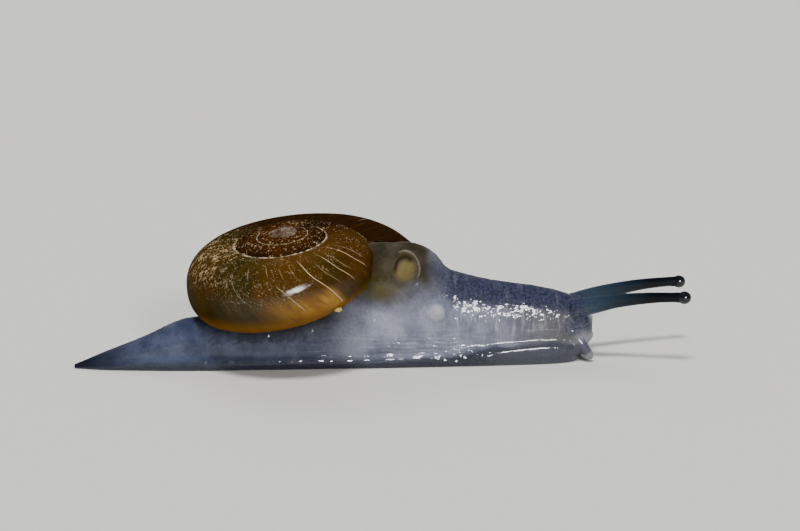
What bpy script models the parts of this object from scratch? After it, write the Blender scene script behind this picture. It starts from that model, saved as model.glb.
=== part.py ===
"""Dark-bodied glass-snail, life size, crawling: shell, soft body and tentacles.

All sizes below are millimetres in the animal's own frame: +X is the way it
crawls, +Y its left side, +Z up, and the sole lies on z = 0.
"""
import math

import bmesh
import bpy
import numpy as np
from mathutils import Matrix, Vector
from mathutils.geometry import tessellate_polygon

MM = 0.001
GAP = 0.30                        # clearance between neighbouring parts
CENTRE_SHIFT = (-0.27, -0.60, 0)  # brings the middle of the whole animal to x = y = 0

# Shell: a logarithmic spiral of one whorl section about a leaning axis
APEX = (-5.52, -0.7, 8.09)        # tip of the spire
LEAN_TO_TAIL = 6.5                # degrees
LEAN_TO_RIGHT = 9.0
LIP_RADIUS = 8.0                  # from the axis to the lip's outer edge
WHORL_GROWTH = 1.80               # radius gained in one turn
WHORLS = 4                        # turns modelled, the innermost ones are specks
SECTIONS_PER_TURN = 36
WHORL_MIDDLE = 0.56               # section sizes, as shares of the whorl's radius
WHORL_HALF_WIDTH = 0.44
WHORL_DROP = 0.495
WHORL_HALF_HEIGHT = 0.365
WHORL_SQUARENESS = 2.3            # 2 is an ellipse
UMBILICUS_ANGLE = -158            # where the section turns into the umbilicus, degrees
UMBILICUS_FLOOR = -2.6            # below the apex
APEX_CAP = -0.08
SPIRE_POINTS = 5                  # points across a visible spire whorl
SIDE_POINTS = 13                  # points down the last whorl's side and base
LIP_SLANT = 5.5                   # degrees that the lip falls back per mm of depth
LIP_SLANT_FROM = -1.2             # depth where the slant begins
LIP_DROOP = 0.05                  # share of the radius that the lip sinks below the spiral
LIP_DROOP_TURNS = 0.16            # length of whorl over which it sinks
CLEARANCE_ANGLES = (90, -140, 17) # part of the section that the flesh keeps clear of, and points
CLEARANCE_AXIS = (-0.4, -5.3)     # top and bottom on the axis

# Soft body: stations along x with the sole's half width, the flank's and the height
BODY_STATIONS = (
    # x, sole half width, flank half width, height, height of the foot's rounded edge
    (-17.8, 0.16, 0.14, 0.24, 0.08),
    (-17.2, 0.38, 0.33, 0.46, 0.15),
    (-16.0, 0.76, 0.64, 0.94, 0.31),
    (-13.8, 1.16, 1.00, 1.76, 0.58),
    (-11.2, 1.48, 1.34, 2.82, 0.74),
    (-7.5, 1.72, 1.62, 3.15, 0.74),
    (-3.0, 1.84, 1.80, 3.60, 0.74),
    (0.5, 1.90, 2.06, 5.00, 0.77),
    (3.1, 1.94, 2.02, 5.78, 0.84),
    (4.3, 1.95, 1.88, 5.28, 0.93),
    (6.4, 1.95, 1.76, 4.70, 1.08),
    (8.8, 1.90, 1.62, 4.32, 1.16),
    (10.4, 1.72, 1.50, 3.95, 1.14),
    (11.4, 1.38, 1.26, 3.52, 1.05),
    (12.0, 0.92, 0.94, 3.02, 0.95),
    (12.32, 0.42, 0.52, 2.40, 0.80),
)
BODY_STEP = 0.62                  # spacing of the lofted rings
FURROW_DEPTH = 0.16               # groove between foot and flank
FURROW_FULL_HEIGHT = 2.2          # body height below which the furrow grows shallower
SOLE_POINTS = (0.0, 0.55, 0.93)   # shares of the sole's half width
FRINGE_POINTS = (                 # set in by a share of the furrow, up by a share of the fringe
    (0.0, 0.22),
    (0.0, 0.62),
    (0.3, 0.88),
)
FURROW_LEVEL = 1.12               # in heights of the fringe
FLANK_BULGE = 0.6                 # in depths of the furrow
FLANK_FULLNESS = 0.82             # 1 is an ellipse, less is fuller
BACK_POINTS = 9                   # points from the furrow to the ridge of the back
CHIN_START = 9.0                  # ahead of this the foot falls behind the head
CHIN_SETBACK = 0.72
CHIN_HEIGHT = 1.25
CHIN_CURVE_AHEAD = 2.0            # how late along the head the setback grows
CHIN_CURVE_DOWN = 1.2             # and how late towards the sole

# Mantle collar round the shell's mouth, with the breathing hole on the right
MANTLE_CENTRE = (1.05, -0.25, 4.85)
MANTLE_RADII = (2.85, 2.10, 2.26)
BREATHING_HOLE = (1.30, -2.02, 5.98)
BREATHING_HOLE_RADII = (0.70, 0.55, 0.86)
BREATHING_RIM_TUBE = 0.20
BREATHING_LEAN = 0.55             # the collar leans in by this much per mm of height
GENITAL_SWELLING = (3.05, -1.86, 3.25)
GENITAL_RADII = (0.56, 0.26, 0.56)

# Head
LIP_LOBE = (11.98, 0.38, 1.42)
LIP_LOBE_RADII = (0.44, 0.36, 0.42)

# Tentacles, left side: path points of x, y, z and radius
UPPER_SOCKET = (
    (11.10, 0.66, 2.96, 0.66),
    (12.00, 0.93, 3.23, 0.56),
    (12.30, 1.02, 3.31, 0.53),
)
UPPER_TENTACLE = (
    (12.59, 1.11, 3.39, 0.50),
    (13.50, 1.38, 3.60, 0.42),
    (14.74, 1.80, 3.79, 0.355),
    (15.80, 2.10, 3.91, 0.315),
    (16.92, 2.43, 3.98, 0.285),
)
TENTACLE_REACH = {"left": 1.08, "right": 0.94}  # how far each upper one is stretched out
TENTACLE_SINK = {"left": 0.20, "right": 0.0}    # how far its tip hangs below the path
EYE_CENTRE = (17.54, 2.60, 3.98)
EYE_RADII = (0.40, 0.37, 0.37)
LOWER_SOCKET = (
    (10.95, 0.90, 1.70, 0.36),
    (11.30, 1.12, 1.36, 0.30),
)
LOWER_TENTACLE = (
    (11.47, 1.22, 1.14, 0.275),
    (11.76, 1.29, 0.74, 0.255),
    (12.02, 1.33, 0.36, 0.235),
)

# Cuts that part the soft body
TAIL_CUT = -7.0
NECK_CUT = 4.75
HEAD_CUT = 9.2
FOOT_CUT = 0.92
FOOT_FRONT_CUT = 1.18
MANTLE_CUT = 3.95
FAR = 40.0
MERGE_DISTANCE = 0.0005           # welds the doubles that a cut leaves

FINISHES = {                      # linear colour, roughness
    "amber_shell": ((0.14, 0.055, 0.012), 0.18),
    "pale_blue_grey_skin": ((0.30, 0.32, 0.44), 0.32),
    "slate_blue_skin": ((0.10, 0.11, 0.19), 0.35),
    "dark_wet_foot": ((0.12, 0.14, 0.24), 0.22),
    "grey_brown_mantle": ((0.16, 0.14, 0.12), 0.30),
    "navy_tentacle": ((0.03, 0.05, 0.09), 0.30),
    "pale_tentacle_tip": ((0.28, 0.30, 0.38), 0.25),
    "black_eye": ((0.004, 0.004, 0.006), 0.12),
}
SKIN_OF_NODE = {
    "tail": "slate_blue_skin",
    "foot_middle": "dark_wet_foot",
    "foot_front": "dark_wet_foot",
    "flank": "pale_blue_grey_skin",
    "mantle_collar": "grey_brown_mantle",
    "neck": "pale_blue_grey_skin",
    "head": "pale_blue_grey_skin",
}


def clear_scene():
    for item in list(bpy.data.objects):
        bpy.data.objects.remove(item, do_unlink=True)


def make_material(name, colour, roughness):
    material = bpy.data.materials.new(name)
    material.use_nodes = True
    shader = material.node_tree.nodes["Principled BSDF"]
    shader.inputs["Base Color"].default_value = (*colour, 1.0)
    shader.inputs["Roughness"].default_value = roughness
    shader.inputs["Metallic"].default_value = 0.0
    return material


def to_world(point):
    return Vector([(value + shift) * MM for value, shift in zip(point, CENTRE_SHIFT)])


def make_object(name, bm, material=None):
    """Turn a bmesh into a smooth-shaded object with outward faces."""
    bmesh.ops.recalc_face_normals(bm, faces=bm.faces)
    mesh = bpy.data.meshes.new(name)
    bm.to_mesh(mesh)
    bm.free()
    mesh.shade_smooth()
    mesh.set_sharp_from_angle(angle=math.radians(40))
    item = bpy.data.objects.new(name, mesh)
    bpy.context.collection.objects.link(item)
    if material:
        mesh.materials.append(material)
    return item


def boolean(item, other, operation):
    """Apply one exact Boolean and remove the other object."""
    modifier = item.modifiers.new(operation.title(), "BOOLEAN")
    modifier.operation = operation
    modifier.solver = "EXACT"
    modifier.object = other
    bake_modifiers(item)
    bpy.data.objects.remove(other, do_unlink=True)


def bake_modifiers(item):
    graph = bpy.context.evaluated_depsgraph_get()
    baked = bpy.data.meshes.new_from_object(item.evaluated_get(graph))
    item.modifiers.clear()
    item.data = baked


def keep_largest_body(item):
    """Drop loose scraps, and keep the connected surface that reaches furthest."""
    bm = bmesh.new()
    bm.from_mesh(item.data)
    bmesh.ops.remove_doubles(bm, verts=bm.verts, dist=MERGE_DISTANCE * MM)
    bodies = []
    unseen = set(bm.verts)
    while unseen:
        stack = [unseen.pop()]
        found = set(stack)
        while stack:
            for edge in stack.pop().link_edges:
                for vert in edge.verts:
                    if vert not in found:
                        found.add(vert)
                        stack.append(vert)
        unseen -= found
        bodies.append(found)
    bodies.sort(key=spread)
    scraps = [vert for group in bodies[:-1] for vert in group]
    bmesh.ops.delete(bm, geom=scraps, context="VERTS")
    bmesh.ops.triangulate(bm, faces=bm.faces)
    bm.to_mesh(item.data)
    bm.free()


def spread(verts):
    places = np.array([vert.co[:] for vert in verts])
    return float(np.linalg.norm(np.ptp(places, axis=0)))


def smooth_curve(stations, column, at):
    """Read one column of a station table at any x, on a monotone cubic."""
    xs = np.array([row[0] for row in stations])
    ys = np.array([row[column] for row in stations])
    steps = np.diff(xs)
    slopes = np.diff(ys) / steps
    tangents = np.zeros(len(xs))
    tangents[0], tangents[-1] = slopes[0], slopes[-1]
    for i in range(1, len(xs) - 1):
        if slopes[i - 1] * slopes[i] > 0:
            w1 = 2 * steps[i] + steps[i - 1]
            w2 = steps[i] + 2 * steps[i - 1]
            tangents[i] = (w1 + w2) / (w1 / slopes[i - 1] + w2 / slopes[i])
    i = int(np.clip(np.searchsorted(xs, at) - 1, 0, len(xs) - 2))
    t = (at - xs[i]) / steps[i]
    return float(
        ys[i] * (1 + 2 * t) * (1 - t) ** 2 + ys[i + 1] * t * t * (3 - 2 * t)
        + steps[i] * (tangents[i] * t * (1 - t) ** 2 - tangents[i + 1] * t * t * (1 - t))
    )


def shell_axes():
    axis = Vector((-math.tan(math.radians(LEAN_TO_TAIL)), -math.tan(math.radians(LEAN_TO_RIGHT)), 1))
    axis.normalize()
    forward = (Vector((1, 0, 0)) - axis * axis.x).normalized()
    return axis, forward, axis.cross(forward)


def whorl_drop(turns_back):
    """Depth of the section's middle, as a share of its radius; the lip droops."""
    near_lip = max(0.0, 1 - turns_back / LIP_DROOP_TURNS)
    return WHORL_DROP + LIP_DROOP * near_lip ** 2


def whorl_radius(turns_back):
    return LIP_RADIUS * WHORL_GROWTH ** -turns_back


def whorl_section(turns_back, angle, grow=0.0):
    """Distance from the axis and height of a point on the whorl's section."""
    power = 2 / WHORL_SQUARENESS
    c, s = math.cos(angle), math.sin(angle)
    size = whorl_radius(turns_back)
    half_width = WHORL_HALF_WIDTH * size + grow
    half_height = WHORL_HALF_HEIGHT * size + grow
    radius = WHORL_MIDDLE * size + half_width * math.copysign(abs(c) ** power, c)
    height = -whorl_drop(turns_back) * size + half_height * math.copysign(abs(s) ** power, s)
    return radius, height


def shell_point(turns_back, radius, height):
    """Place a point given by its distance from the axis and height on it."""
    axis, forward, left = shell_axes()
    slant = LIP_SLANT * max(0.0, LIP_SLANT_FROM - height)
    angle = turns_back * 2 * math.pi + math.radians(slant)
    place = Vector(APEX) + axis * height
    return place + (forward * math.cos(angle) + left * math.sin(angle)) * radius


def upper_height(turns_back, radius):
    """Height of a whorl's upper face at a radius, or far below outside it."""
    size = whorl_radius(turns_back)
    across = abs((radius / size - WHORL_MIDDLE) / WHORL_HALF_WIDTH)
    if across >= 1:
        return -FAR
    rise = (1 - across ** WHORL_SQUARENESS) ** (1 / WHORL_SQUARENESS)
    return size * (WHORL_HALF_HEIGHT * rise - whorl_drop(turns_back))


def suture_radius(turns_back):
    """Radius at which the whorl one turn inside comes to the surface."""
    high = whorl_radius(turns_back + 1)
    low = high * WHORL_MIDDLE
    for _ in range(50):
        middle = (low + high) / 2
        if upper_height(turns_back + 1, middle) > upper_height(turns_back, middle):
            low = middle
        else:
            high = middle
    return low


def section_angle(turns_back, radius):
    """Angle on the upper half of the section at which it has this radius."""
    across = (radius / whorl_radius(turns_back) - WHORL_MIDDLE) / WHORL_HALF_WIDTH
    return math.acos(math.copysign(abs(across) ** (WHORL_SQUARENESS / 2), across))


def section_angles(turns_back):
    """Angles from the inner suture over the visible face, and on down the last whorl."""
    inner = section_angle(turns_back, suture_radius(turns_back))
    covered = max(0.0, turns_back - 1)
    share = suture_radius(covered) / whorl_radius(covered + 1)
    outer = section_angle(turns_back, share * whorl_radius(turns_back))
    base = math.radians(UMBILICUS_ANGLE)
    side = np.linspace(outer, base, SIDE_POINTS + 1)[1:]
    return [*np.linspace(inner, outer, SPIRE_POINTS), *side]


def make_shell(material):
    """One closed surface: visible spire whorls, the last whorl, and the lip's face."""
    turn = SECTIONS_PER_TURN
    seam = SPIRE_POINTS - 1
    last = seam + SIDE_POINTS

    bm = bmesh.new()
    verts = {}
    flat = {}

    def vert(section, point):
        if section >= turn and point == seam:
            section, point = section - turn, 0
        key = (section, point)
        if key not in verts:
            angle = section_angles(section / turn)[point]
            flat[key] = whorl_section(section / turn, angle)
            verts[key] = bm.verts.new(to_world(shell_point(section / turn, *flat[key])))
        return verts[key]

    apex = bm.verts.new(to_world(shell_point(0, 0, APEX_CAP)))
    pit = bm.verts.new(to_world(shell_point(0, 0, UMBILICUS_FLOOR)))
    for section in range(turn * WHORLS):
        rows = last if section < turn else seam
        for point in range(rows):
            corners = (vert(section, point), vert(section + 1, point),
                       vert(section + 1, point + 1), vert(section, point + 1))
            bm.faces.new(corners)
    for section in range(turn):
        bm.faces.new((vert(section, last), vert(section + 1, last), pit))
    first = turn * (WHORLS - 1)
    for section in range(first, turn * WHORLS):
        bm.faces.new((vert(section, 0), apex, vert(section + 1, 0)))
    start = [apex] + [vert(turn * WHORLS, point) for point in range(seam + 1)]
    bm.faces.new(start)

    lip_keys = [(0, point) for point in range(last + 1)]
    back_keys = [(turn, point) for point in range(last, seam, -1)]
    outline = [flat[key] for key in lip_keys] + [(0, UMBILICUS_FLOOR)] + [flat[key] for key in back_keys]
    corners = [verts[key] for key in lip_keys] + [pit] + [verts[key] for key in back_keys]
    for triangle in tessellate_polygon([[Vector((x, y, 0)) for x, y in outline]]):
        bm.faces.new([corners[index] for index in triangle])
    bmesh.ops.triangulate(bm, faces=bm.faces)
    return make_object("shell", bm, material)


def make_shell_clearance():
    """The last whorl grown by the gap, which the soft body is cut clear of."""
    turn = SECTIONS_PER_TURN
    advance = GAP / (2 * math.pi * WHORL_MIDDLE * LIP_RADIUS)
    angles = np.radians(np.linspace(*CLEARANCE_ANGLES))
    top, bottom = CLEARANCE_AXIS
    bm = bmesh.new()
    rows, outlines = [], []
    axis_top = bm.verts.new(to_world(shell_point(0, 0, top)))
    axis_bottom = bm.verts.new(to_world(shell_point(0, 0, bottom)))
    for section in range(turn + 1):
        turns_back = section / turn - advance
        outline = [whorl_section(turns_back, angle, GAP) for angle in angles]
        rows.append([bm.verts.new(to_world(shell_point(turns_back, *place))) for place in outline])
        outlines.append(outline)
    for near, far in zip(rows, rows[1:]):
        for point in range(len(angles) - 1):
            bm.faces.new((near[point], far[point], far[point + 1], near[point + 1]))
        bm.faces.new((near[0], axis_top, far[0]))
        bm.faces.new((near[-1], far[-1], axis_bottom))
    outline = [(0, top)] + outlines[0] + [(0, bottom)] + outlines[-1][::-1]
    corners = [axis_top] + rows[0] + [axis_bottom] + rows[-1][::-1]
    for triangle in tessellate_polygon([[Vector((x, y, 0)) for x, y in outline]]):
        bm.faces.new([corners[index] for index in triangle])
    bmesh.ops.triangulate(bm, faces=bm.faces)
    return make_object("shell_clearance", bm)


def body_ring(x):
    """Half of a cross-section, from the middle of the sole up to the back."""
    sole = smooth_curve(BODY_STATIONS, 1, x)
    flank = smooth_curve(BODY_STATIONS, 2, x)
    height = smooth_curve(BODY_STATIONS, 3, x)
    fringe = smooth_curve(BODY_STATIONS, 4, x)
    furrow = FURROW_DEPTH * min(1.0, height / FURROW_FULL_HEIGHT)
    ring = [(share * sole, 0.0) for share in SOLE_POINTS]
    ring += [(sole - inset * furrow, level * fringe) for inset, level in FRINGE_POINTS]
    start = FURROW_LEVEL * fringe
    ring.append((min(flank, sole) - furrow, start))
    for i in range(1, BACK_POINTS + 1):
        angle = i / BACK_POINTS * math.pi / 2
        bulge = math.sin(math.pi * i / BACK_POINTS) * FLANK_BULGE * furrow
        y = (flank - furrow) * math.cos(angle) ** FLANK_FULLNESS + bulge * (i < BACK_POINTS)
        ring.append((y, start + (height - start) * math.sin(angle)))
    return ring


def body_point(x, y, z):
    """The foot falls back under the chin at the front."""
    ahead = max(0.0, (x - CHIN_START) / (BODY_STATIONS[-1][0] - CHIN_START))
    low = max(0.0, 1 - z / CHIN_HEIGHT)
    return (x - CHIN_SETBACK * ahead ** CHIN_CURVE_AHEAD * low ** CHIN_CURVE_DOWN, y, z)


def make_body():
    first, final = BODY_STATIONS[0][0], BODY_STATIONS[-1][0]
    count = round((final - first) / BODY_STEP)
    bm = bmesh.new()
    rings = []
    for i in range(count + 1):
        x = first + (final - first) * i / count
        half = body_ring(x)
        full = half + [(-y, z) for y, z in reversed(half[1:-1])]
        rings.append([bm.verts.new(to_world(body_point(x, y, z))) for y, z in full])
    for near, far in zip(rings, rings[1:]):
        for i in range(len(near)):
            j = (i + 1) % len(near)
            bm.faces.new((near[i], near[j], far[j], far[i]))
    bm.faces.new(rings[0])
    bm.faces.new(rings[-1])
    bmesh.ops.triangulate(bm, faces=bm.faces)
    return make_object("body", bm)


def make_ellipsoid(name, centre, radii, segments=20, rings=12, material=None):
    bm = bmesh.new()
    bmesh.ops.create_uvsphere(bm, u_segments=segments, v_segments=rings, radius=1)
    size = Matrix.Diagonal((*(value * MM for value in radii), 1))
    place = Matrix.Translation(to_world(centre))
    bmesh.ops.transform(bm, matrix=place @ size, verts=bm.verts)
    bmesh.ops.triangulate(bm, faces=bm.faces)
    return make_object(name, bm, material)


def make_rim(name, centre, radii, tube):
    """A ring of round section lying against the flank, round the breathing hole."""
    bm = bmesh.new()
    around, across = 20, 8
    rows = []
    for i in range(around):
        a = 2 * math.pi * i / around
        row = []
        for j in range(across):
            b = 2 * math.pi * j / across
            x = centre[0] + (radii[0] + tube * math.cos(b)) * math.cos(a)
            z = centre[2] + (radii[2] + tube * math.cos(b)) * math.sin(a)
            lean = (z - MANTLE_CENTRE[2]) * BREATHING_LEAN
            row.append(bm.verts.new(to_world((x, centre[1] + lean + tube * math.sin(b), z))))
        rows.append(row)
    for i in range(around):
        for j in range(across):
            k, m = (i + 1) % around, (j + 1) % across
            bm.faces.new((rows[i][j], rows[k][j], rows[k][m], rows[i][m]))
    bmesh.ops.triangulate(bm, faces=bm.faces)
    return make_object(name, bm)


def make_tube(name, path, side, sides=12, round_tip=False, material=None):
    """A tapered tube through path points of x, y, z and radius; side is 1 or -1."""
    points = [Vector((x, y * side, z)) for x, y, z, _ in path]
    radii = [row[3] for row in path]
    bm = bmesh.new()
    rings = []
    for i, (point, radius) in enumerate(zip(points, radii)):
        ahead = points[min(i + 1, len(points) - 1)] - points[max(i - 1, 0)]
        across = ahead.cross(Vector((0, 0, 1))).normalized()
        up = across.cross(ahead).normalized()
        rings.append([point + (across * math.cos(a) + up * math.sin(a)) * radius
                      for a in np.linspace(0, 2 * math.pi, sides, endpoint=False)])
    if round_tip:
        ahead = (points[-1] - points[-2]).normalized()
        for angle in (35, 65):
            reach = math.sin(math.radians(angle)) * radii[-1]
            shrink = math.cos(math.radians(angle))
            base = rings[len(points) - 1]
            rings.append([points[-1] + ahead * reach + (place - points[-1]) * shrink for place in base])
    rows = [[bm.verts.new(to_world(place)) for place in ring] for ring in rings]
    for near, far in zip(rows, rows[1:]):
        for i in range(sides):
            j = (i + 1) % sides
            bm.faces.new((near[i], near[j], far[j], far[i]))
    bm.faces.new(rows[0])
    bm.faces.new(rows[-1])
    bmesh.ops.triangulate(bm, faces=bm.faces)
    return make_object(name, bm, material)


def fuse(pieces):
    """Union a list of closed objects into the first one."""
    main, rest = pieces[0], pieces[1:]
    group = bpy.data.collections.new("fused")
    for piece in rest:
        group.objects.link(piece)
    modifier = main.modifiers.new("Union", "BOOLEAN")
    modifier.operation = "UNION"
    modifier.solver = "EXACT"
    modifier.operand_type = "COLLECTION"
    modifier.collection = group
    bake_modifiers(main)
    for piece in rest:
        bpy.data.objects.remove(piece, do_unlink=True)
    bpy.data.collections.remove(group)
    return main


def make_flesh():
    """The whole soft body in one piece, cut clear of the shell."""
    pieces = [make_body()]
    pieces.append(make_ellipsoid("mantle", MANTLE_CENTRE, MANTLE_RADII, 24, 14))
    pieces.append(make_ellipsoid("genital_swelling", GENITAL_SWELLING, GENITAL_RADII, 12, 8))
    pieces.append(make_rim("breathing_rim", BREATHING_HOLE, BREATHING_HOLE_RADII, BREATHING_RIM_TUBE))
    for side in (1, -1):
        pieces.append(make_tube("upper_socket", UPPER_SOCKET, side))
        pieces.append(make_tube("lower_socket", LOWER_SOCKET, side, 10))
        x, y, z = LIP_LOBE
        pieces.append(make_ellipsoid("lip_lobe", (x, y * side, z), LIP_LOBE_RADII, 14, 8))
    flesh = fuse(pieces)
    boolean(flesh, make_ellipsoid("hole", BREATHING_HOLE, BREATHING_HOLE_RADII, 14, 10), "DIFFERENCE")
    boolean(flesh, make_shell_clearance(), "DIFFERENCE")
    room = [LOWER_SOCKET[-1][:3] + (LOWER_SOCKET[-1][3] + GAP,)]
    room += [(x, y, z, radius + GAP) for x, y, z, radius in LOWER_TENTACLE]
    for side in (1, -1):
        boolean(flesh, make_tube("tentacle_room", room, side, 10, True), "DIFFERENCE")
    return flesh


def cut_out(flesh, name, material, low, high):
    """A node: the part of the flesh inside a box, given by two corners."""
    bm = bmesh.new()
    bmesh.ops.create_cube(bm, size=1)
    size = Matrix.Diagonal((*((b - a) * MM for a, b in zip(low, high)), 1))
    middle = to_world([(a + b) / 2 for a, b in zip(low, high)])
    bmesh.ops.transform(bm, matrix=Matrix.Translation(middle) @ size, verts=bm.verts)
    box = make_object("box", bm)
    node = bpy.data.objects.new(name, flesh.data.copy())
    bpy.context.collection.objects.link(node)
    boolean(node, box, "INTERSECT")
    keep_largest_body(node)
    node.data.materials.clear()
    node.data.materials.append(material)
    node.data.shade_smooth()
    node.data.set_sharp_from_angle(angle=math.radians(40))
    return node


def make_soft_parts(materials):
    flesh = make_flesh()
    half = GAP / 2
    below, above = FOOT_CUT - half, FOOT_CUT + half
    front_below, front_above = FOOT_FRONT_CUT - half, FOOT_FRONT_CUT + half
    regions = {
        "tail": ((-FAR, -FAR, -FAR), (TAIL_CUT - half, FAR, FAR)),
        "foot_middle": ((TAIL_CUT + half, -FAR, -FAR), (NECK_CUT - half, FAR, below)),
        "flank": ((TAIL_CUT + half, -FAR, above), (NECK_CUT - half, FAR, MANTLE_CUT - half)),
        "mantle_collar": ((TAIL_CUT + half, -FAR, MANTLE_CUT + half), (NECK_CUT - half, FAR, FAR)),
        "foot_front": ((NECK_CUT + half, -FAR, -FAR), (FAR, FAR, front_below)),
        "neck": ((NECK_CUT + half, -FAR, front_above), (HEAD_CUT - half, FAR, FAR)),
        "head": ((HEAD_CUT + half, -FAR, front_above), (FAR, FAR, FAR)),
    }
    for name, (low, high) in regions.items():
        cut_out(flesh, name, materials[name], low, high)
    bpy.data.objects.remove(flesh, do_unlink=True)


def stretched(place, name):
    """A place on the upper tentacle of one side, stretched from its root to that side's pose."""
    root = UPPER_TENTACLE[0][0]
    share = (place[0] - root) / (EYE_CENTRE[0] - root)
    x = root + (place[0] - root) * TENTACLE_REACH[name]
    return (x, place[1], place[2] - TENTACLE_SINK[name] * share ** 2, *place[3:])


def make_tentacles(materials):
    for name, side in (("left", 1), ("right", -1)):
        path = [stretched(row, name) for row in UPPER_TENTACLE]
        make_tube("upper_tentacle_" + name, path, side, 12, False, materials["tentacle"])
        x, y, z = stretched(EYE_CENTRE, name)
        make_ellipsoid("eye_" + name, (x, y * side, z), EYE_RADII, 16, 10, materials["eye"])
        make_tube("lower_tentacle_" + name, LOWER_TENTACLE, side, 10, True, materials["lower_tentacle"])


def main():
    clear_scene()
    made = {name: make_material(name, *finish) for name, finish in FINISHES.items()}
    make_shell(made["amber_shell"])
    make_soft_parts({node: made[name] for node, name in SKIN_OF_NODE.items()})
    make_tentacles({
        "tentacle": made["navy_tentacle"],
        "eye": made["black_eye"],
        "lower_tentacle": made["pale_tentacle_tip"],
    })


main()
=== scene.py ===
import math

import bmesh
import bpy
import numpy as np
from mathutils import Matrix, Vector, noise


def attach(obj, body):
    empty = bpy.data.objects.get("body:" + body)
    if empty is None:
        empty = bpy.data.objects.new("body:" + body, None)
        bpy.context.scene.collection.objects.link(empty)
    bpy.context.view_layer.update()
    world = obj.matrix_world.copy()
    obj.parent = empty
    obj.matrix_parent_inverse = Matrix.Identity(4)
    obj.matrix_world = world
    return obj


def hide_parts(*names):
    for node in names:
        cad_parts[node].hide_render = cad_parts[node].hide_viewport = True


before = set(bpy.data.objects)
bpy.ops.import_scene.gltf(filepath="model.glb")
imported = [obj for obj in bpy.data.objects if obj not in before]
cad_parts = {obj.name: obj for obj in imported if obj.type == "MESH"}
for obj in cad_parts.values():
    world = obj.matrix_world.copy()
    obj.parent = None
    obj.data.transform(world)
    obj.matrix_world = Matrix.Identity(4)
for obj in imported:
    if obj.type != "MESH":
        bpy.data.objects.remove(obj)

mm = 0.001
middleShift = Vector((-0.27, -0.60, 0.0))   # the animal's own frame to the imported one, mm
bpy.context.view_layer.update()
print("frame loaded:", len(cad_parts), "solids")


# small helpers

def place(point):                            # millimetres in the animal's frame to metres
    return (Vector(point) + middleShift) * mm


def selectOnly(*things):
    bpy.ops.object.select_all(action="DESELECT")
    for thing in things:
        thing.select_set(True)
    bpy.context.view_layer.objects.active = things[0]


def applyAll(thing):
    selectOnly(thing)
    for modifier in list(thing.modifiers):
        bpy.ops.object.modifier_apply(modifier=modifier.name)


def settle(thing, name):                     # place goes into the mesh, object to the origin
    selectOnly(thing)
    bpy.ops.object.transform_apply(location=True, rotation=True, scale=True)
    thing.name = name
    thing.data.name = name
    return thing


def startRing(points):                       # a circle primitive pulled onto the first ring
    bpy.ops.object.select_all(action="DESELECT")
    bpy.ops.mesh.primitive_circle_add(vertices=len(points), radius=mm)
    bpy.ops.object.mode_set(mode="EDIT")
    mesh = bmesh.from_edit_mesh(bpy.context.edit_object.data)
    slot = mesh.verts.layers.int.new("slot")
    row = mesh.verts.layers.int.new("row")
    mesh.verts.ensure_lookup_table()
    for index, point in enumerate(points):
        mesh.verts[index].co = point
        mesh.verts[index][slot] = index
        mesh.verts[index][row] = 0
        mesh.verts[index].select = True
    bmesh.update_edit_mesh(bpy.context.edit_object.data)


def nextRing(points, number):                # extrude the selected ring to its next place
    bpy.ops.mesh.extrude_region_move()
    mesh = bmesh.from_edit_mesh(bpy.context.edit_object.data)
    slot = mesh.verts.layers.int["slot"]
    row = mesh.verts.layers.int["row"]
    for vertex in mesh.verts:
        if vertex.select:
            vertex.co = points[vertex[slot]]
            vertex[row] = number


def loft(rings, name):                       # rings of places, capped at both ends
    startRing(rings[0])
    bpy.ops.mesh.edge_face_add()
    bpy.ops.mesh.select_all(action="SELECT")
    for number, ring in enumerate(rings[1:], 1):
        nextRing(ring, number)
    bpy.ops.mesh.select_all(action="SELECT")
    bpy.ops.mesh.normals_make_consistent(inside=False)
    bpy.ops.object.mode_set(mode="OBJECT")
    return settle(bpy.context.object, name)


def curveThrough(stations, column, at):      # a smooth curve with no overshoot
    xs = np.array([s[0] for s in stations])
    ys = np.array([s[column] for s in stations])
    steps = np.diff(xs)
    slopes = np.diff(ys) / steps
    bends = np.zeros(len(xs))
    bends[0], bends[-1] = slopes[0], slopes[-1]
    for i in range(1, len(xs) - 1):
        if slopes[i - 1] * slopes[i] > 0:
            a = 2 * steps[i] + steps[i - 1]
            b = steps[i] + 2 * steps[i - 1]
            bends[i] = (a + b) / (a / slopes[i - 1] + b / slopes[i])
    at = np.clip(np.asarray(at, float), xs[0], xs[-1])
    i = np.clip(np.searchsorted(xs, at) - 1, 0, len(xs) - 2)
    t = (at - xs[i]) / steps[i]
    return (ys[i] * (1 + 2 * t) * (1 - t) ** 2 + ys[i + 1] * t * t * (3 - 2 * t)
            + steps[i] * (bends[i] * t * (1 - t) ** 2 - bends[i + 1] * t * t * (1 - t)))


def ramp(value, low, high):                  # 0 below low, 1 above high, smooth between
    t = np.clip((value - low) / (high - low), 0, 1)
    return t * t * (3 - 2 * t)


# materials

def hexColour(text):                         # sRGB hex to linear
    parts = [int(text[i:i + 2], 16) / 255 for i in (1, 3, 5)]
    linear = [p / 12.92 if p <= 0.04045 else ((p + 0.055) / 1.055) ** 2.4 for p in parts]
    return (*linear, 1.0)


def addNode(tree, kind, settings=None):      # a setting that is another node's socket is linked
    node = tree.nodes.new("ShaderNode" + kind)
    for key, value in (settings or {}).items():
        if isinstance(value, bpy.types.NodeSocket):
            tree.links.new(value, node.inputs[key])
        elif isinstance(key, int) or key in node.inputs:
            node.inputs[key].default_value = hexColour(value) if isinstance(value, str) else value
        else:
            setattr(node, key, value)
    return node


def newMaterial(name, finish):               # what is the same all over sits on the shader itself
    material = bpy.data.materials.new(name)
    material.use_nodes = True
    shader = material.node_tree.nodes["Principled BSDF"]
    for socket, value in finish.items():
        shader.inputs[socket].default_value = hexColour(value) if isinstance(value, str) else value
    return material, material.node_tree, shader


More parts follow.
